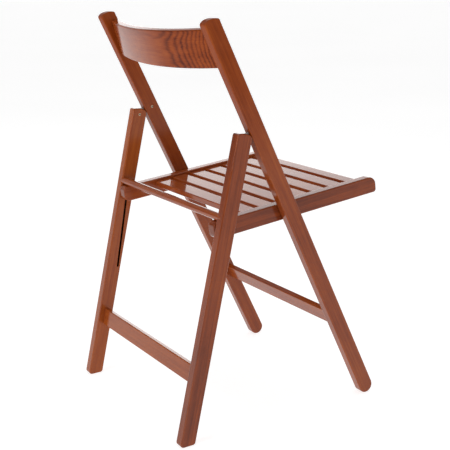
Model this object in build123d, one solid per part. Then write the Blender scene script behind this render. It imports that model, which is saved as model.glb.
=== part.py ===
from build123d import *
import math
import os

os.makedirs("parts", exist_ok=True)

# ---------------------------------------------------------------- dimensions
# All lengths in millimetres, angles in degrees.  +X is the sitter's left,
# -Y is the front, +Z is up.  The floor is z = 0.
HALF_W = 215.0          # half the overall width, outer faces of posts and legs
STICK_T = 20.0          # thickness of posts, legs and rails, measured along X
STICK_W = 32.0          # width of posts and legs, seen from the side
EDGE_R = 2.4            # rounding of the long edges
POST_LEAN = 25.56       # lean of the posts from the vertical, rearward
LEG_LEAN = 13.20        # lean of the rear legs from the vertical, forward
POST_Y0 = -216.615       # y of the post centre line at the floor

# hinge between post and rear leg (side view, measured along and off the post)
HINGE_S = 646.0         # distance of the hinge along the post
HINGE_OFF = 33.5        # leg pin, behind the post centre line
POST_PIN_OFF = -0.5     # post pin, from the post centre line
PLATE_H = 15.0          # height of the steel hinge plate
PLATE_T = 2.5           # its thickness
PIN_R = 3.0             # outside radius of the tubular pins
PIN_BORE_R = 1.7        # their bore
PIN_LEN = 16.0
RUN = 0.05              # radial running clearance of a turning pin
PLATE_GAP = 0.25        # side clearance of the plate in the leg's mortise

# boards
BOARD_T = 12.0          # thickness of stretchers and seat slats
BOARD_R = 2.0           # rounding of their long edges
FS_W = 33.5             # height of the front stretcher
FS_S = 177.0            # its lower edge, along the post
FS_REAR = 2.5           # its rear face, behind the post's centre line
RS_W = 35.0             # height of the rear stretcher
RS_S = 115.2            # its lower edge, along the leg
RS_REAR = 3.0           # its rear face, behind the leg's centre line

# seat
RAIL_H = 33.0
RAIL_GAP = 1.5          # gap between post or leg and seat rail
RAIL_TOP_Z = 433.9      # height of the rail's top edge at RAIL_REF_Y
RAIL_REF_Y = 7.285
SEAT_TILT = 6.03        # the front of the seat is the higher end
RAIL_FRONT = 246.0      # rail ends, along the rail from the reference point
RAIL_REAR = -142.0
SLAT_DROP = 5.0         # slat tops below the rail tops
SLAT_W = 32.4
SLAT_PITCH = 42.4
SLAT_GAP1 = 186.5       # middle of the frontmost gap
SLAT_HOUSE = 8.0        # depth of the slat ends in the rails
NOSE_R = 9.0            # rounded front edge of the front slat

# seat pivot in the post, guide pin in the rail
PIVOT_OFF = 4.0         # behind the post centre line
PIVOT_H = -20.0         # below the rail top
GUIDE_F = -124.3        # along the rail
GUIDE_H = -13.0
SEAT_PIN_R = 3.0
GUIDE_PIN_R = 2.4
GUIDE_PROUD = 1.0       # how far the guide pins stand out of the rails

# guide groove in the leg's inner face
GROOVE_W = 5.0
GROOVE_DEPTH = 10.0
GROOVE_LO = 248.5       # end centres, along the leg
GROOVE_HI = 421.5
GROOVE_SLOPE = 0.0476   # the groove runs slightly towards the front, downward
GROOVE_V393 = -2.0      # its offset from the leg's centre line at 393 mm

# round rod between the legs
ROD_R = 7.5
ROD_S = 437.8
ROD_V = 8.7
ROD_HOUSE = 12.0

# bent back slat
BACK_H = 72.0
BACK_T = 14.0
BACK_BOW = 28.4
BACK_LEAN = 16.55
BACK_REAR_TOP = (850.7, 0.0)    # rear top corner at the post (along, off)
BACK_HOUSE = 8.0

DOWEL_R = 4.0
DOWEL_LEN = 24.0

# ---------------------------------------------------------------- frames
A = math.radians(POST_LEAN)
B = math.radians(LEG_LEAN)
G = math.radians(SEAT_TILT)
INNER = HALF_W - STICK_T            # inner face of posts and legs
MID = HALF_W - STICK_T / 2          # mid plane of posts and legs
RAIL_OUT = INNER - RAIL_GAP
RAIL_IN = RAIL_OUT - STICK_T

post_s = (0.0, math.sin(A), math.cos(A))
post_v = (0.0, math.cos(A), -math.sin(A))


def post_pt(s, v):
    """(y, z) of a point of the post's side view."""
    return (POST_Y0 + s * math.sin(A) + v * math.cos(A), s * math.cos(A) - v * math.sin(A))


HINGE = post_pt(HINGE_S, HINGE_OFF)
LEG_Y0 = HINGE[0] + HINGE[1] * math.tan(B)
LEG_HINGE_S = HINGE[1] / math.cos(B)


def leg_pt(s, v):
    return (LEG_Y0 - s * math.sin(B) + v * math.cos(B), s * math.cos(B) + v * math.sin(B))


def leg_coords(y, z):
    dy = y - LEG_Y0
    return (-dy * math.sin(B) + z * math.cos(B), dy * math.cos(B) + z * math.sin(B))


def rail_pt(f, h):
    return (RAIL_REF_Y - f * math.cos(G) + h * math.sin(G), RAIL_TOP_Z + f * math.sin(G) + h * math.cos(G))


def post_plane(x):
    """Sketch plane of the post: local x is off the post, local y along it."""
    return Plane(origin=(x, POST_Y0, 0), x_dir=post_v, z_dir=(1, 0, 0))


def leg_plane(x):
    return Plane(origin=(x, LEG_Y0, 0), x_dir=(0, math.cos(B), math.sin(B)), z_dir=(1, 0, 0))


def rail_plane(x):
    """Local x runs rearward along the rail, local y up from its top edge."""
    return Plane(origin=(x, RAIL_REF_Y, RAIL_TOP_Z), x_dir=(0, math.cos(G), -math.sin(G)), z_dir=(1, 0, 0))


def side_plane(x):
    return Plane(origin=(x, 0, 0), x_dir=(0, 1, 0), z_dir=(1, 0, 0))


def slab(plane, face, length):
    """Extrude a sketch that was drawn on XY, placed on plane, along +X."""
    return extrude(plane * face, amount=length)


def rod_x(x0, x1, yz, r):
    return Pos((x0 + x1) / 2, yz[0], yz[1]) * Rot(0, 90, 0) * Cylinder(r, abs(x1 - x0))


def mirror_x(shape):
    return mirror(shape, about=Plane.YZ)


def soften(solid, x0, x1, r):
    """Round the edges that lie in the two side faces."""
    edges = [e for e in solid.edges() if abs(e.center().X - x0) < 1e-3 or abs(e.center().X - x1) < 1e-3]
    edges = [e for e in edges if e.bounding_box().size.X < 1e-3]
    return fillet(edges, r)


def board(width, thick, r, length):
    """A board along X with rounded long edges: width in local Y, thickness in local Z."""
    b = Box(length, width, thick)
    return fillet(b.edges().filter_by(Axis.X), r)


def solid_of(shape):
    s = shape.solids()
    return s[0] if len(s) == 1 else Compound(children=list(s))


# ---------------------------------------------------------------- hinge plate
# A flat bar across the gap: fixed square in the post, the leg turns on its
# rear pin.  Drawn in the post's side view.
plate_face = make_face(
    [
        Line((POST_PIN_OFF, HINGE_S - PLATE_H / 2), (HINGE_OFF, HINGE_S - PLATE_H / 2)),
        ThreePointArc(
            (HINGE_OFF, HINGE_S - PLATE_H / 2),
            (HINGE_OFF + PLATE_H / 2, HINGE_S),
            (HINGE_OFF, HINGE_S + PLATE_H / 2),
        ),
        Line((HINGE_OFF, HINGE_S + PLATE_H / 2), (POST_PIN_OFF, HINGE_S + PLATE_H / 2)),
        ThreePointArc(
            (POST_PIN_OFF, HINGE_S + PLATE_H / 2),
            (POST_PIN_OFF - PLATE_H / 2, HINGE_S),
            (POST_PIN_OFF, HINGE_S - PLATE_H / 2),
        ),
    ]
)
plate_blank = slab(post_plane(MID - PLATE_T / 2), plate_face, PLATE_T)
POST_PIN = post_pt(HINGE_S, POST_PIN_OFF)
plate = plate_blank - rod_x(MID - 3, MID + 3, POST_PIN, PIN_R) - rod_x(MID - 3, MID + 3, HINGE, PIN_R + RUN)


def tube_pin(yz):
    """Tubular spring pin, slit along its length, driven in from the inner face."""
    x0 = INNER + 0.2
    x1 = x0 + PIN_LEN
    pin = Cylinder(PIN_R, PIN_LEN)
    pin = chamfer(pin.edges().filter_by(GeomType.CIRCLE), 0.5)
    pin = pin - Cylinder(PIN_BORE_R, PIN_LEN + 2)
    pin = pin - Pos(0, -PIN_R, 0) * Box(0.7, PIN_R * 2, PIN_LEN + 2)
    return Pos((x0 + x1) / 2, yz[0], yz[1]) * Rot(0, 90, 0) * pin


post_pin = tube_pin(POST_PIN)
leg_pin = tube_pin(HINGE)

# ---------------------------------------------------------------- back slat
# An arc in plan, square in section, leaning rearward; its ends enter both posts.
L_ = math.radians(BACK_LEAN)
top_y, top_z = post_pt(*BACK_REAR_TOP)
half = INNER
radius = (half**2 + BACK_BOW**2) / (2 * BACK_BOW)
end = INNER + BACK_HOUSE


back_plane = Plane(
    origin=(0, top_y - BACK_H * math.sin(L_), top_z - BACK_H * math.cos(L_)),
    x_dir=(1, 0, 0),
    z_dir=(0, math.sin(L_), math.cos(L_)),
)
r_in = radius - BACK_T
cy = -math.sqrt(radius**2 - half**2)


span = math.asin((end + 12.0) / radius)


def arc_pt(r, ang):
    return (r * math.sin(ang), r * math.cos(ang) + cy)


back_face = make_face(
    [
        ThreePointArc(arc_pt(radius, -span), arc_pt(radius, 0), arc_pt(radius, span)),
        Line(arc_pt(radius, span), arc_pt(r_in, span)),
        ThreePointArc(arc_pt(r_in, span), arc_pt(r_in, 0), arc_pt(r_in, -span)),
        Line(arc_pt(r_in, -span), arc_pt(radius, -span)),
    ]
)
back_slat = extrude(back_plane * back_face, amount=BACK_H)
long_edges = [e for e in back_slat.edges() if e.length > 200]
back_slat = fillet(long_edges, 2.5)
back_slat = back_slat & (Pos(0, top_y, top_z) * Box(2 * end, 400, 400))

# ---------------------------------------------------------------- boards
def board_on(plane_fn, s_low, width, rear, half_len):
    """A stretcher board between the sides; height along the stick, flat across."""
    p = plane_fn(0)
    c = p.origin + p.y_dir * (s_low + width / 2) + p.x_dir * (rear - BOARD_T / 2)
    frame = Plane(origin=c, x_dir=(1, 0, 0), z_dir=p.x_dir)
    return frame * board(width, BOARD_T, BOARD_R, 2 * half_len)


front_stretcher = board_on(post_plane, FS_S, FS_W, FS_REAR, INNER)
rear_stretcher = board_on(leg_plane, RS_S, RS_W, RS_REAR, INNER)


def dowels(pt_fn, s_low, width, rear):
    out = []
    for ds in (8.5, width - 8.5):
        yz = pt_fn(s_low + ds, rear - BOARD_T / 2)
        for sx in (-1, 1):
            a, b = sx * (INNER - DOWEL_LEN / 2), sx * (INNER + DOWEL_LEN / 2)
            out.append(rod_x(min(a, b), max(a, b), yz, DOWEL_R))
    return out


fs_dowels = dowels(post_pt, FS_S, FS_W, FS_REAR)
rs_dowels = dowels(leg_pt, RS_S, RS_W, RS_REAR)
for d in fs_dowels:
    front_stretcher = front_stretcher - d
for d in rs_dowels:
    rear_stretcher = rear_stretcher - d

# ---------------------------------------------------------------- seat pivot
# Where the pivot line of the post meets the pivot line of the rail.
PIVOT_F = 0.0
for _ in range(60):
    y, z = rail_pt(PIVOT_F, PIVOT_H)
    off = (y - POST_Y0) * math.cos(A) - z * math.sin(A)
    PIVOT_F += (off - PIVOT_OFF) / (math.cos(G) * math.cos(A) + math.sin(G) * math.sin(A))
PIVOT = rail_pt(PIVOT_F, PIVOT_H)
GUIDE = rail_pt(GUIDE_F, GUIDE_H)

pivot_pin = rod_x(INNER - RAIL_GAP - 14.0, INNER + 13.0, PIVOT, SEAT_PIN_R)
pivot_pin = chamfer(pivot_pin.edges().filter_by(GeomType.CIRCLE), 0.5)
guide_pin = rod_x(RAIL_OUT - 15.0, RAIL_OUT + GUIDE_PROUD, GUIDE, GUIDE_PIN_R)
guide_pin = chamfer(guide_pin.edges().filter_by(GeomType.CIRCLE), 0.3)

# ---------------------------------------------------------------- posts
w = STICK_W / 2
foot = w / math.cos(A)
post_face = make_face(
    [
        ThreePointArc((-w, foot), (0, foot - w), (w, foot)),
        Line((w, foot), (w, 867.4)),
        ThreePointArc((w, 867.4), (10.5, 870.1), (5.0, 870.9)),
        ThreePointArc((5.0, 870.9), (-5.5, 869.2), (-w, 863.5)),
        Line((-w, 863.5), (-w, foot)),
    ]
)
post_face = fillet([q for q in post_face.vertices() if q.Y > 800 and q.X > w - 0.01], 6.0)
post_face = fillet([q for q in post_face.vertices() if q.Y > 800 and q.X < -w + 0.01], 3.0)
post = slab(post_plane(INNER), post_face, STICK_T)
post = soften(post, INNER, HALF_W, EDGE_R)
post = post - plate_blank
post = post - rod_x(INNER - 1, INNER + 0.2 + PIN_LEN, POST_PIN, PIN_R)
post = post - rod_x(INNER - 1, INNER + 13.0, PIVOT, SEAT_PIN_R)
post = post - back_slat
for d in fs_dowels:
    post = post - d

# ---------------------------------------------------------------- rear legs
t = math.tan(B)
leg_face = make_face(
    [
        Line((-w, w * t), (w, -w * t)),
        Line((w, -w * t), (w, LEG_HINGE_S + 9.6)),
        ThreePointArc((w, LEG_HINGE_S + 9.6), (1.0, LEG_HINGE_S + 13.0), (-w, LEG_HINGE_S + 10.0)),
        Line((-w, LEG_HINGE_S + 10.0), (-w, w * t)),
    ]
)
for (pick, rr) in (
    (lambda q: q.Y > 400 and q.X > 0, 4.0),
    (lambda q: q.Y > 400 and q.X < -w + 0.01, 9.0),
    (lambda q: q.Y < 50 and q.X > 0, 7.0),
    (lambda q: q.Y < 50 and q.X < -w + 0.01, 6.0),
):
    leg_face = fillet([q for q in leg_face.vertices() if pick(q)], rr)
leg = slab(leg_plane(INNER), leg_face, STICK_T)
leg = soften(leg, INNER, HALF_W, EDGE_R)

# mortise in which the plate swings: it leaves the leg square to it when
# folded, and turned up by the fold angle when open
FOLD = POST_LEAN + LEG_LEAN
c_r = PLATE_H / 2 + 0.5
lo_a, hi_a = math.radians(-1.2), math.radians(FOLD + 1.2)
hs = LEG_HINGE_S


def ray(a, d, off):
    """Point at distance d from the hinge, off to the side, at angle a above square."""
    return (-d * math.cos(a) - off * math.sin(a) * -1.0, hs + d * math.sin(a) + off * math.cos(a))


p_lo0 = ray(lo_a, 0, -c_r)
p_lo1 = ray(lo_a, 40, -c_r)
p_hi1 = ray(hi_a, 40, c_r)
p_hi0 = ray(hi_a, 0, c_r)
sweep = make_face(Polyline(p_lo0, p_lo1, (-48.0, hs + 18.0), p_hi1, p_hi0, close=True))
sweep = sweep + Pos(0, hs) * Circle(c_r)
leg = leg - slab(leg_plane(MID - PLATE_T / 2 - PLATE_GAP), sweep, PLATE_T + 2 * PLATE_GAP)
leg = leg - rod_x(INNER - 1, INNER + 0.2 + PIN_LEN, HINGE, PIN_R)


def groove_v(s):
    return GROOVE_V393 + GROOVE_SLOPE * (s - 393.0)


g0 = (groove_v(GROOVE_LO), GROOVE_LO)
g1 = (groove_v(GROOVE_HI), GROOVE_HI)
groove = SlotCenterToCenter(math.dist(g0, g1), GROOVE_W)
groove = Pos((g0[0] + g1[0]) / 2, (g0[1] + g1[1]) / 2) * Rot(0, 0, 90 - math.degrees(math.atan(GROOVE_SLOPE))) * groove
leg = leg - slab(leg_plane(INNER - 0.5), groove, GROOVE_DEPTH + 0.5)

ROD = leg_pt(ROD_S, ROD_V)
rear_rod = rod_x(-(INNER + ROD_HOUSE), INNER + ROD_HOUSE, ROD, ROD_R)
leg = leg - rear_rod
for d in rs_dowels:
    leg = leg - d

# ---------------------------------------------------------------- seat rails
rail_face = make_face(
    Polyline((-RAIL_FRONT, 0), (-RAIL_REAR, 0), (-RAIL_REAR, -RAIL_H), (-RAIL_FRONT, -RAIL_H), close=True)
)
for (cx, cyy, rr) in (
    (-RAIL_FRONT, 0, 17.0),
    (-RAIL_FRONT, -RAIL_H, 6.0),
    (-RAIL_REAR, 0, 9.0),
    (-RAIL_REAR, -RAIL_H, 11.0),
):
    pick = [q for q in rail_face.vertices() if abs(q.X - cx) < 0.01 and abs(q.Y - cyy) < 0.01]
    rail_face = fillet(pick, rr)
rail = slab(rail_plane(RAIL_IN), rail_face, STICK_T)
rail = soften(rail, RAIL_IN, RAIL_OUT, EDGE_R)
rail = rail - rod_x(RAIL_OUT - 14.5, RAIL_OUT + 1, PIVOT, SEAT_PIN_R + RUN)
rail = rail - guide_pin

# slats, numbered from the front
slats = []
half_slat = RAIL_IN + SLAT_HOUSE
width = SLAT_W
gap = SLAT_PITCH - SLAT_W
for i in range(7):
    fm = SLAT_GAP1 + gap / 2 + SLAT_W / 2 - i * SLAT_PITCH
    c = rail_pt(fm, -SLAT_DROP - BOARD_T / 2)
    frame = Plane(origin=(0, c[0], c[1]), x_dir=(1, 0, 0), z_dir=(0, math.sin(G), math.cos(G)))
    b = Box(2 * half_slat, width, BOARD_T)
    ex = b.edges().filter_by(Axis.X)
    nose = [e for e in ex if e.center().Y < 0 and e.center().Z > 0]
    rest = [e for e in ex if e not in nose]
    if i == 0:
        b = fillet(rest, BOARD_R)
        nose = [e for e in b.edges().filter_by(Axis.X) if e.center().Y < -width / 2 + 0.01 and e.center().Z > BOARD_T / 2 - 0.01]
        b = fillet(nose, NOSE_R)
    else:
        b = fillet(ex, BOARD_R)
    b = frame * b
    slats.append(b)
    rail = rail - b

# ---------------------------------------------------------------- write
nodes = {
    "left_post": [post],
    "right_post": [mirror_x(post)],
    "back_slat": [back_slat],
    "front_stretcher": [front_stretcher],
    "front_stretcher_dowels": fs_dowels,
    "left_hinge_plate": [plate],
    "right_hinge_plate": [mirror_x(plate)],
    "post_hinge_pins": [post_pin, mirror_x(post_pin)],
    "seat_pivot_pins": [pivot_pin, mirror_x(pivot_pin)],
    "left_rear_leg": [leg],
    "right_rear_leg": [mirror_x(leg)],
    "rear_stretcher": [rear_stretcher],
    "rear_stretcher_dowels": rs_dowels,
    "rear_rod": [rear_rod],
    "leg_hinge_pins": [leg_pin, mirror_x(leg_pin)],
    "left_seat_rail": [rail],
    "right_seat_rail": [mirror_x(rail)],
    "guide_pins": [guide_pin, mirror_x(guide_pin)],
}
for i, s in enumerate(slats):
    nodes["seat_slat_%d" % (i + 1)] = [s]

everything = []
for name, shapes in nodes.items():
    solids = [q for sh in shapes for q in sh.solids()]
    everything += solids
    out = solids[0] if len(solids) == 1 else Compound(children=solids)
    export_step(out, "parts/%s.step" % name)

box = Compound(children=everything).bounding_box()
print("box", [round(q, 2) for q in (box.min.X, box.min.Y, box.min.Z, box.max.X, box.max.Y, box.max.Z)])
print("hinge", HINGE, "pivot", PIVOT, "guide", GUIDE, "guide in leg", leg_coords(*GUIDE), "groove there", groove_v(leg_coords(*GUIDE)[0]))
print("fold", FOLD, "leg_y0", LEG_Y0, "leg hinge s", LEG_HINGE_S)
# rotation of the seat that brings the guide pin onto the groove of the folded leg
ax, az = PIVOT
sab = math.dist(PIVOT, GUIDE)
best = None
phi = math.radians(FOLD)


def turn(p, c, a):
    """Turn p about c by a, clockwise with +Y to the right and +Z up."""
    dy, dz = p[0] - c[0], p[1] - c[1]
    return (c[0] + dy * math.cos(a) + dz * math.sin(a), c[1] - dy * math.sin(a) + dz * math.cos(a))


def seat_angle(leg_angle):
    lo, hi = 0.0, math.radians(125)
    def err(a):
        g = turn(GUIDE, PIVOT, a)
        g = turn(g, HINGE, -leg_angle)
        s, v = leg_coords(*g)
        return v - groove_v(s)
    # march to the first sign change after the start
    prev, step = None, math.radians(0.25)
    a = max(0.0, leg_angle * 1.2)
    e0 = err(a)
    while a < hi:
        a2 = a + step
        e1 = err(a2)
        if e0 * e1 <= 0:
            for _ in range(40):
                m = (a + a2) / 2
                if err(a) * err(m) <= 0:
                    a2 = m
                else:
                    a = m
            return (a + a2) / 2
        a, e0 = a2, e1
    return None


fa = seat_angle(phi)
if fa:
    print("seat fold", math.degrees(fa), "ratio", fa / phi)
    g = turn(turn(GUIDE, PIVOT, fa), HINGE, -phi)
    print("guide folded in leg", leg_coords(*g))
    worst = 0
    for k in range(1, 20):
        la = phi * k / 20
        sa = seat_angle(la)
        g = turn(turn(GUIDE, PIVOT, la * fa / phi), HINGE, -la)
        s, v = leg_coords(*g)
        worst = max(worst, abs(v - groove_v(s)))
        if k % 4 == 0:
            print(k, "leg", round(math.degrees(la), 2), "true seat", None if sa is None else round(math.degrees(sa), 2), "coupled", round(math.degrees(la * fa / phi), 2), "off groove", round(v - groove_v(s), 2), "s", round(s, 1))
    print("largest distance of the pin from the groove line", round(worst, 2))
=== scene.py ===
import math

import bpy
from mathutils import Matrix, Vector

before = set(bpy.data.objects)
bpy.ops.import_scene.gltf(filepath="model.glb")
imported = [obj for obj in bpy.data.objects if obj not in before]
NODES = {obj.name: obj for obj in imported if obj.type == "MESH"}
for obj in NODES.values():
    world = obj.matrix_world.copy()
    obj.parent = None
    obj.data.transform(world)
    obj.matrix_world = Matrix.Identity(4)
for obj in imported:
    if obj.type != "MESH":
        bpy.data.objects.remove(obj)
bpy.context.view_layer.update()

# ------------------------------------------------------------------ node help
class Tree:
    """Short spellings for building one material."""

    def __init__(self, name):
        self.m = bpy.data.materials.new(name)
        self.m.use_nodes = True
        self.t = self.m.node_tree
        self.t.nodes.clear()
        self.out = self.n("ShaderNodeOutputMaterial")
        self.bsdf = self.n("ShaderNodeBsdfPrincipled")
        self.t.links.new(self.bsdf.outputs["BSDF"], self.out.inputs["Surface"])
        self.coord = self.n("ShaderNodeTexCoord")

    def n(self, kind, **kw):
        node = self.t.nodes.new(kind)
        for k, v in kw.items():
            setattr(node, k, v)
        return node

    def put(self, socket, value):
        if isinstance(value, bpy.types.NodeSocket):
            self.t.links.new(value, socket)
        else:
            socket.default_value = value

    def math(self, op, a, b=0.0, c=0.0, clamp=False):
        node = self.n("ShaderNodeMath", operation=op, use_clamp=clamp)
        for i, v in enumerate((a, b, c)):
            self.put(node.inputs[i], v)
        return node.outputs[0]

    def vec(self, op, a, b=(0, 0, 0), scale=None):
        node = self.n("ShaderNodeVectorMath", operation=op)
        self.put(node.inputs[0], a)
        self.put(node.inputs[1], b)
        if scale is not None:
            self.put(node.inputs["Scale"], scale)
        return node.outputs["Value"] if op in ("LENGTH", "DOT_PRODUCT", "DISTANCE") else node.outputs[0]

    def mapping(self, vector, loc=(0, 0, 0), rot=(0, 0, 0), scale=(1, 1, 1)):
        node = self.n("ShaderNodeMapping", vector_type="POINT")
        self.put(node.inputs["Vector"], vector)
        node.inputs["Location"].default_value = loc
        node.inputs["Rotation"].default_value = rot
        node.inputs["Scale"].default_value = scale
        return node.outputs[0]

    def split(self, vector):
        node = self.n("ShaderNodeSeparateXYZ")
        self.put(node.inputs[0], vector)
        return node.outputs[0], node.outputs[1], node.outputs[2]

    def join(self, x, y, z):
        node = self.n("ShaderNodeCombineXYZ")
        for i, v in enumerate((x, y, z)):
            self.put(node.inputs[i], v)
        return node.outputs[0]

    def noise(self, vector, scale=1.0, detail=2.0, rough=0.5, distortion=0.0, colour=False):
        node = self.n("ShaderNodeTexNoise", noise_dimensions="3D")
        self.put(node.inputs["Vector"], vector)
        node.inputs["Scale"].default_value = scale
        node.inputs["Detail"].default_value = detail
        node.inputs["Roughness"].default_value = rough
        node.inputs["Distortion"].default_value = distortion
        return node.outputs["Color" if colour else "Fac"]

    def ramp(self, fac, stops, mode="LINEAR"):
        node = self.n("ShaderNodeValToRGB")
        node.color_ramp.interpolation = mode
        el = node.color_ramp.elements
        while len(el) > 1:
            el.remove(el[-1])
        el[0].position, el[0].color = stops[0][0], self.rgba(stops[0][1])
        for pos, col in stops[1:]:
            e = el.new(pos)
            e.color = self.rgba(col)
        self.put(node.inputs[0], fac)
        return node.outputs[0]

    @staticmethod
    def rgba(c):
        if isinstance(c, (int, float)):
            return (c, c, c, 1)
        return (*c, 1)

    def mix(self, fac, a, b, blend="MIX"):
        node = self.n("ShaderNodeMix", data_type="RGBA", blend_type=blend)
        self.put(node.inputs[0], fac)
        for i, v in ((6, a), (7, b)):
            self.put(node.inputs[i], v if isinstance(v, bpy.types.NodeSocket) else self.rgba(v))
        return node.outputs[2]

    def step(self, value, lo, hi):
        node = self.n("ShaderNodeMapRange", interpolation_type="SMOOTHSTEP")
        self.put(node.inputs[0], value)
        node.inputs[1].default_value = lo
        node.inputs[2].default_value = hi
        node.inputs[3].default_value = 0.0
        node.inputs[4].default_value = 1.0
        return node.outputs[0]


def srgb(r, g, b):
    def lin(v):
        v /= 255.0
        return v / 12.92 if v <= 0.04045 else ((v + 0.055) / 1.055) ** 2.4
    return (lin(r), lin(g), lin(b))


# ------------------------------------------------------------------ wood
def wood(
    name,
    rot,
    centre,
    half,
    seed,
    pith=(0.045, 0.02),
    ring=0.0042,
    contrast=0.13,
    ripple=0.28,
    paint_groove_shade=False,
    worn=None,
    warp=0.006,
    tone_and_shade=0.0,
    light=srgb(164, 82, 30),
    mid=srgb(138, 61, 22),
    dark=srgb(84, 30, 12),
    tilt=0.0,
    ring_shape=None,
    fade=None,
    gloss=0.36,
    coat_rough=0.13,
    bump=0.25,
):
    """Stained and lacquered hardwood.

    rot turns the piece so that its grain runs along the third axis; centre and
    half describe its section there (first two axes), for the worn edges.
    pith is the centre of the growth rings from the piece's own centre line."""
    t = Tree(name)
    p = t.mapping(t.coord.outputs["Object"], rot=rot)
    a, b, c = t.split(p)
    a = t.math("SUBTRACT", a, centre[0])
    b = t.math("SUBTRACT", b, centre[1])
    own = t.join(a, b, c)
    shifted = t.vec("ADD", own, (seed * 0.731, seed * 1.317, seed * 2.113))

    # slow wander of the grain, long along the piece and short across it
    slow = t.noise(t.mapping(shifted, scale=(9, 9, 1.6)), 1.0, 2.0, 0.5, colour=True)
    slow = t.vec("SUBTRACT", slow, (0.5, 0.5, 0.5))
    wide = t.noise(t.mapping(shifted, scale=(55, 55, 6)), 1.0, 3.0, 0.55, colour=True)
    wide = t.vec("SUBTRACT", wide, (0.5, 0.5, 0.5))
    push = t.vec("ADD", t.vec("SCALE", slow, scale=warp * 2.2), t.vec("SCALE", wide, scale=warp * ripple))
    pa, pb, _ = t.split(push)
    ra = t.math("ADD", t.math("SUBTRACT", a, pith[0]), pa)
    rb = t.math("ADD", t.math("SUBTRACT", b, pith[1]), pb)
    rb = t.math("ADD", rb, t.math("MULTIPLY", c, tilt))
    r = t.math("SQRT", t.math("ADD", t.math("MULTIPLY", ra, ra), t.math("MULTIPLY", rb, rb)))
    turns = t.math("DIVIDE", r, ring)
    phase = t.math("FRACT", turns)
    band = t.ramp(
        phase,
        ring_shape or [(0.0, 0.95), (0.06, 0.35), (0.2, 0.08), (0.55, 0.12), (0.82, 0.62), (0.95, 1.0), (1.0, 0.95)],
    )
    # rings differ in strength from one to the next
    which = t.math("FLOOR", turns)
    vary = t.noise(t.join(t.math("MULTIPLY", which, 0.37), seed * 3.1, t.math("MULTIPLY", c, 1.2)), 1.0, 1.0)
    band = t.math("MULTIPLY", band, t.math("ADD", 0.35, t.math("MULTIPLY", vary, 1.1)))
    if fade:
        strength = t.math("ADD", 0.14, t.math("MULTIPLY", t.step(t.math("MULTIPLY", c, -1.0), *fade), 0.86))
        band = t.math("MULTIPLY", band, strength)

    # fibres and pores
    fibre = t.noise(t.mapping(shifted, scale=(620, 620, 11)), 1.0, 5.0, 0.62)
    pores = t.noise(t.mapping(shifted, scale=(1900, 1900, 150)), 1.0, 2.0, 0.5)
    pore = t.step(pores, 0.64, 0.74)
    streak = t.noise(t.mapping(shifted, scale=(95, 95, 2.2)), 1.0, 4.0, 0.6)
    cloud = t.noise(t.mapping(shifted, scale=(14, 14, 4)), 1.0, 3.0, 0.5)
    mottle = t.noise(t.mapping(shifted, scale=(70, 70, 26)), 1.0, 3.0, 0.6)

    # the tone offset lightens or darkens a whole piece: random tone on the slats, painted light and shade on the
    # paired rear legs and seat rails
    tone_v = t.math("ADD", t.math("MULTIPLY", t.math("SUBTRACT", streak, 0.5), 0.62), 0.42 + tone_and_shade)
    tone_v = t.math("ADD", tone_v, t.math("MULTIPLY", t.math("SUBTRACT", cloud, 0.5), 0.75))
    tone_v = t.math("ADD", tone_v, t.math("MULTIPLY", t.math("SUBTRACT", mottle, 0.5), 0.34))
    tone_v = t.math("ADD", tone_v, t.math("MULTIPLY", band, contrast))
    tone_v = t.math("ADD", tone_v, t.math("MULTIPLY", t.math("SUBTRACT", fibre, 0.5), 0.80), clamp=True)
    colour = t.ramp(tone_v, [(0.0, light), (0.48, mid), (1.0, dark)])
    colour = t.mix(t.math("MULTIPLY", pore, 0.35), colour, tuple(0.35 * q for q in dark))

    # end grain drinks more stain
    grain_dir = Matrix.Rotation(0, 3, "X")
    inv = (Matrix.Rotation(rot[2], 3, "Z") @ Matrix.Rotation(rot[1], 3, "Y") @ Matrix.Rotation(rot[0], 3, "X")).inverted()
    g = inv @ Vector((0, 0, 1))
    along = t.math("ABSOLUTE", t.vec("DOT_PRODUCT", t.coord.outputs["Normal"], tuple(g)))
    endg = t.step(along, 0.45, 0.95)
    colour = t.mix(t.math("MULTIPLY", endg, 0.28), colour, tuple(0.8 * q for q in dark))

    # painted shade: faces inside a groove are darkened almost to black, as shade falls there
    if paint_groove_shade:
        skin = t.math("MAXIMUM", t.math("DIVIDE", t.math("ABSOLUTE", a), half[0]), t.math("DIVIDE", t.math("ABSOLUTE", b), half[1]))
        groove_shade = t.math("SUBTRACT", 1.0, t.step(skin, 0.86, 0.95))
        groove_shade = t.math("MULTIPLY", groove_shade, t.math("SUBTRACT", 1.0, endg))
        colour = t.mix(t.math("MULTIPLY", groove_shade, 0.92), colour, tuple(0.08 * q for q in dark))

    # edges: the stain is rubbed a little thinner along the rounded corners
    ea = t.math("DIVIDE", t.math("ABSOLUTE", a), half[0])
    eb = t.math("DIVIDE", t.math("ABSOLUTE", b), half[1])
    edge = t.step(t.math("MULTIPLY", ea, eb), 0.80, 0.98)
    patch = t.noise(t.mapping(shifted, scale=(30, 30, 17)), 1.0, 4.0, 0.62)
    rub = t.math("MULTIPLY", edge, t.step(patch, 0.40, 0.66))
    colour = t.mix(t.math("MULTIPLY", rub, 0.45), colour, srgb(178, 96, 46))

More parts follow.
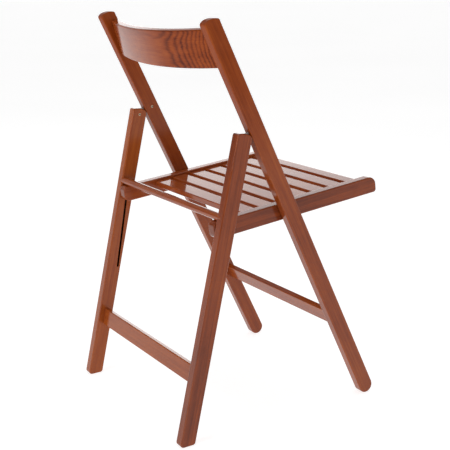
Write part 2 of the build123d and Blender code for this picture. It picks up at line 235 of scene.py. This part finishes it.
    t.put(t.bsdf.inputs["Base Color"], colour)
    rough = t.math("ADD", gloss, t.math("MULTIPLY", t.math("SUBTRACT", mottle, 0.5), 0.14))
    rough = t.math("ADD", rough, t.math("MULTIPLY", endg, 0.15))
    rough = t.math("ADD", rough, t.math("MULTIPLY", rub, 0.08))
    t.put(t.bsdf.inputs["Roughness"], rough)
    t.bsdf.inputs["IOR"].default_value = 1.45
    t.bsdf.inputs["Specular IOR Level"].default_value = 0.02
    t.bsdf.inputs["Coat Weight"].default_value = 1.0
    if worn:  # the lacquer has thinned where hands take hold
        thin = t.math("MULTIPLY", t.step(c, *worn), t.math("ADD", 0.55, t.math("MULTIPLY", patch, 0.35)))
        t.put(t.bsdf.inputs["Coat Weight"], t.math("SUBTRACT", 1.0, thin))
    t.bsdf.inputs["Coat Roughness"].default_value = coat_rough
    t.bsdf.inputs["Coat IOR"].default_value = 1.38

    height = t.math("ADD", t.math("MULTIPLY", fibre, 0.5), t.math("MULTIPLY", pore, -0.5))
    height = t.math("ADD", height, t.math("MULTIPLY", band, 0.35))
    height = t.math("ADD", height, t.math("MULTIPLY", mottle, 0.35))
    bn = t.n("ShaderNodeBump")
    bn.inputs["Strength"].default_value = bump
    bn.inputs["Distance"].default_value = 0.00022
    t.put(bn.inputs["Height"], height)
    t.put(t.bsdf.inputs["Normal"], bn.outputs[0])
    return t.m


def steel(name, rot=(0, 0, 0), base=(0.56, 0.55, 0.53), seed=0.0):
    """Zinc plated steel: fine drawing marks, dull patches, darker in the scratches."""
    t = Tree(name)
    p = t.vec("ADD", t.mapping(t.coord.outputs["Object"], rot=rot), (seed, seed * 1.7, seed * 0.6))
    draw = t.noise(t.mapping(p, scale=(2600, 2600, 120)), 1.0, 4.0, 0.6)
    dull = t.noise(t.mapping(p, scale=(160, 160, 160)), 1.0, 3.0, 0.55)
    spangle = t.noise(t.mapping(p, scale=(700, 700, 700)), 1.0, 1.0, 0.5)
    v = t.math("ADD", t.math("MULTIPLY", draw, 0.5), t.math("MULTIPLY", dull, 0.5), clamp=True)
    colour = t.ramp(v, [(0.25, tuple(0.62 * q for q in base)), (0.55, base), (0.85, tuple(min(1, 1.25 * q) for q in base))])
    t.put(t.bsdf.inputs["Base Color"], colour)
    t.bsdf.inputs["Metallic"].default_value = 1.0
    rough = t.math("ADD", 0.30, t.math("MULTIPLY", dull, 0.22))
    rough = t.math("ADD", rough, t.math("MULTIPLY", spangle, 0.06))
    t.put(t.bsdf.inputs["Roughness"], rough)
    bn = t.n("ShaderNodeBump")
    bn.inputs["Strength"].default_value = 0.25
    bn.inputs["Distance"].default_value = 0.00005
    t.put(bn.inputs["Height"], draw)
    t.put(t.bsdf.inputs["Normal"], bn.outputs[0])
    return t.m


# ------------------------------------------------------------------ assign
LEAN = math.radians(25.56)
LEG = math.radians(13.20)
TILT = math.radians(6.03)
BACK = math.radians(16.55)


def turned(rot, point):
    m = Matrix.Rotation(rot[2], 3, "Z") @ Matrix.Rotation(rot[1], 3, "Y") @ Matrix.Rotation(rot[0], 3, "X")
    return m @ Vector(point)


def section(node, rot):
    """Centre and half size of a piece's section, across its grain."""
    m = Matrix.Rotation(rot[2], 3, "Z") @ Matrix.Rotation(rot[1], 3, "Y") @ Matrix.Rotation(rot[0], 3, "X")
    pts = [m @ v.co for v in NODES[node].data.vertices]
    lo = [min(q[i] for q in pts) for i in range(2)]
    hi = [max(q[i] for q in pts) for i in range(2)]
    return tuple((l + h) / 2 for l, h in zip(lo, hi)), tuple((h - l) / 2 for l, h in zip(lo, hi))


def dress(node, material):
    o = NODES[node]
    o.data.materials.clear()
    o.data.materials.append(material)
    for poly in o.data.polygons:
        poly.material_index = 0


POST_ROT = (LEAN, 0, 0)
LEG_ROT = (-LEG, 0, 0)
RAIL_ROT = (-(math.pi / 2 - TILT), 0, 0)


def across(tilt):
    """Grain along X on a board whose flat face leans by tilt."""
    return (tilt, -math.pi / 2, 0)


# the tone offsets on the paired pieces are painted light and shade: the left rear leg and left seat rail are
# lightened and the right ones darkened, as lit and shaded copies of one wood. The rear legs also get painted shade
# inside their groove.
plan = [
    ("left_post", POST_ROT, 1.3, dict(pith=(0.05, 0.012), tilt=0.012, tone_and_shade=-0.04, worn=(0.42, 0.70))),
    ("right_post", POST_ROT, 4.9, dict(pith=(-0.05, -0.02), tilt=-0.010, worn=(0.42, 0.70))),
    ("left_rear_leg", LEG_ROT, 7.7, dict(pith=(0.045, -0.015), tilt=0.015, paint_groove_shade=True, tone_and_shade=-0.30)),
    ("right_rear_leg", LEG_ROT, 11.2, dict(pith=(-0.05, 0.018), tilt=-0.012, paint_groove_shade=True, tone_and_shade=0.10)),
    ("left_seat_rail", RAIL_ROT, 14.6, dict(pith=(0.05, 0.01), tilt=0.01, tone_and_shade=-0.10)),
    ("right_seat_rail", RAIL_ROT, 18.1, dict(pith=(-0.055, 0.01), tilt=0.012, tone_and_shade=0.14)),
    ("front_stretcher", across(LEAN), 21.7, dict(pith=(0.02, -0.05), tilt=0.01, tone_and_shade=-0.06)),
    ("rear_stretcher", across(-LEG), 25.3, dict(pith=(-0.01, -0.05), tilt=-0.012, tone_and_shade=-0.18)),
    ("rear_rod", across(0.0), 28.8, dict(pith=(0.02, 0.03), tilt=0.01, tone_and_shade=-0.12)),
]
for node, rot, seed, kw in plan:
    c, h = section(node, rot)
    dress(node, wood("wood_" + node, rot, c, h, seed, **kw))

for i in range(1, 8):
    node = "seat_slat_%d" % i
    rot = across(TILT)
    c, h = section(node, rot)
    dress(node, wood("wood_" + node, rot, c, h, 31.4 + 3.17 * i, pith=(0.012 * ((i * 5) % 4 - 1.5), -0.05), tilt=0.012 * (-1) ** i, tone_and_shade=0.05 * ((i * 3) % 4 - 1.5) / 1.5, coat_rough=0.07))

rot = across(BACK)
c, h = section("back_slat", rot)
dress("back_slat", wood("wood_back_slat", rot, c, (h[0], 1.0), 58.0, pith=(0.004, -0.30), ring=0.0019, contrast=0.52, warp=0.0014, ripple=1.6, tilt=-0.05, tone_and_shade=-0.04, worn=(0.06, -0.09), fade=(-0.02, 0.09), ring_shape=[(0.0, 0.9), (0.2, 0.35), (0.45, 0.05), (0.65, 0.2), (0.85, 0.8), (0.93, 1.0), (1.0, 0.9)]))

for node, rot in (("front_stretcher_dowels", across(0.0)), ("rear_stretcher_dowels", across(0.0))):
    c, h = section(node, rot)
    dress(node, wood("wood_" + node, rot, c, h, 63.0, light=srgb(196, 158, 110), mid=srgb(176, 134, 88), dark=srgb(130, 92, 56)))

for k, node in enumerate(("left_hinge_plate", "right_hinge_plate")):
    dress(node, steel("steel_" + node, rot=(LEAN + math.pi / 2, 0, 0), seed=k * 1.3))
for k, node in enumerate(("post_hinge_pins", "leg_hinge_pins", "seat_pivot_pins", "guide_pins")):
    dress(node, steel("steel_" + node, rot=(0, -math.pi / 2, 0), base=(0.98, 0.84, 0.62), seed=3 + k * 0.9))

for o in NODES.values():
    for poly in o.data.polygons:
        poly.use_smooth = True
    if hasattr(o.data, "set_sharp_from_angle"):
        o.data.set_sharp_from_angle(angle=math.radians(32))

# ------------------------------------------------------------------ stage
floor_mesh = bpy.data.meshes.new("floor")
F = 40.0
floor_mesh.from_pydata([(-F, -F, 0), (F, -F, 0), (F, F, 0), (-F, F, 0)], [], [(0, 1, 2, 3)])
floor = bpy.data.objects.new("floor", floor_mesh)
bpy.context.scene.collection.objects.link(floor)
t = Tree("floor_white")
haze = t.noise(t.mapping(t.coord.outputs["Object"], scale=(0.8, 0.8, 0.8)), 1.0, 2.0, 0.5)
t.put(t.bsdf.inputs["Base Color"], t.ramp(haze, [(0.3, 0.48), (0.7, 0.52)]))
t.bsdf.inputs["Roughness"].default_value = 0.9
t.bsdf.inputs["Specular IOR Level"].default_value = 0.1
t.bsdf.inputs["Emission Color"].default_value = (1, 1, 1, 1)
t.bsdf.inputs["Emission Strength"].default_value = 0.76
floor_mesh.materials.append(t.m)

ROOM, COVE, DIM = 0.40, 1.90, 0.85
world = bpy.data.worlds.new("studio")
bpy.context.scene.world = world
world.use_nodes = True
wt = world.node_tree
wt.nodes.clear()
wo = wt.nodes.new("ShaderNodeOutputWorld")
cam_bg = wt.nodes.new("ShaderNodeBackground")
cam_bg.inputs[0].default_value = (1, 1, 1, 1)
cam_bg.inputs[1].default_value = 1.0
light_bg = wt.nodes.new("ShaderNodeBackground")
lp = wt.nodes.new("ShaderNodeLightPath")
mx = wt.nodes.new("ShaderNodeMixShader")
wt.links.new(lp.outputs["Is Camera Ray"], mx.inputs[0])
wt.links.new(light_bg.outputs[0], mx.inputs[1])
wt.links.new(cam_bg.outputs[0], mx.inputs[2])
wt.links.new(mx.outputs[0], wo.inputs[0])
# a white cove stands beyond the chair; the room on the near side is dimmer
tc = wt.nodes.new("ShaderNodeTexCoord")
sep = wt.nodes.new("ShaderNodeSeparateXYZ")
wt.links.new(tc.outputs["Generated"], sep.inputs[0])


def wmath(op, a, b=0.0, clamp=False):
    node = wt.nodes.new("ShaderNodeMath")
    node.operation, node.use_clamp = op, clamp
    for i, v in enumerate((a, b)):
        if isinstance(v, bpy.types.NodeSocket):
            wt.links.new(v, node.inputs[i])
        else:
            node.inputs[i].default_value = v
    return node.outputs[0]


def wstep(value, lo, hi):
    node = wt.nodes.new("ShaderNodeMapRange")
    node.interpolation_type = "SMOOTHSTEP"
    wt.links.new(value, node.inputs[0])
    node.inputs[1].default_value, node.inputs[2].default_value = lo, hi
    return node.outputs[0]


cove_dir = wt.nodes.new("ShaderNodeVectorMath")
cove_dir.operation = "DOT_PRODUCT"
wt.links.new(tc.outputs["Generated"], cove_dir.inputs[0])
cove_dir.inputs[1].default_value = (0.905, -0.425, 0.0)
cove = wstep(cove_dir.outputs["Value"], 0.48, 0.90)
low = wstep(sep.outputs[2], 0.46, 0.24)
behind = wmath("MULTIPLY", wstep(sep.outputs[1], 0.10, 0.45), wstep(sep.outputs[2], -0.05, 0.10))
level = wmath("MULTIPLY", ROOM, wmath("SUBTRACT", 1.0, wmath("MULTIPLY", behind, DIM)))
level = wmath("ADD", level, wmath("MULTIPLY", wmath("MULTIPLY", cove, low), COVE))
wt.links.new(level, light_bg.inputs[1])
light_bg.inputs[0].default_value = (1, 1, 1, 1)


def area(name, loc, target, size, power, colour=(1, 1, 1)):
    d = bpy.data.lights.new(name, "AREA")
    d.shape = "RECTANGLE"
    d.size, d.size_y = size
    d.energy = power
    d.color = colour
    o = bpy.data.objects.new(name, d)
    o.location = loc
    o.rotation_euler = (Vector(target) - Vector(loc)).to_track_quat("-Z", "Y").to_euler()
    bpy.context.scene.collection.objects.link(o)
    return o


area("key", (-0.3, 3.2, 1.9), (0, 0, 0.45), (2.2, 1.8), 50)
area("fill", (-3.0, 0.4, 1.9), (0, 0, 0.60), (1.8, 1.6), 13)
area("top", (0.3, -0.1, 3.2), (0, 0, 0.4), (2.6, 2.6), 20)

# ------------------------------------------------------------------ camera
right = Vector((-0.53352089, -0.84568175, -0.01333533))
down = Vector((-0.21170043, 0.14878855, -0.96594249))
fwd = Vector((0.81886408, -0.51252741, -0.25841299))
cam_data = bpy.data.cameras.new("camera")
cam_data.sensor_fit = "HORIZONTAL"
cam_data.sensor_width = 36.0
cam_data.lens = 76.38
cam_data.shift_x = -0.25 / 450
cam_data.shift_y = 0.75 / 450
cam_data.clip_start = 0.05
cam_data.clip_end = 80
cam = bpy.data.objects.new("camera", cam_data)
bpy.context.scene.collection.objects.link(cam)
m = Matrix((
    (right.x, -down.x, -fwd.x, -1.63469),
    (right.y, -down.y, -fwd.y, 1.01754 + 0.007285),
    (right.z, -down.z, -fwd.z, 0.86535),
    (0, 0, 0, 1),
))
cam.matrix_world = m
bpy.context.scene.camera = cam

bpy.context.scene.view_settings.view_transform = "Standard"
bpy.context.scene.view_settings.look = "None"
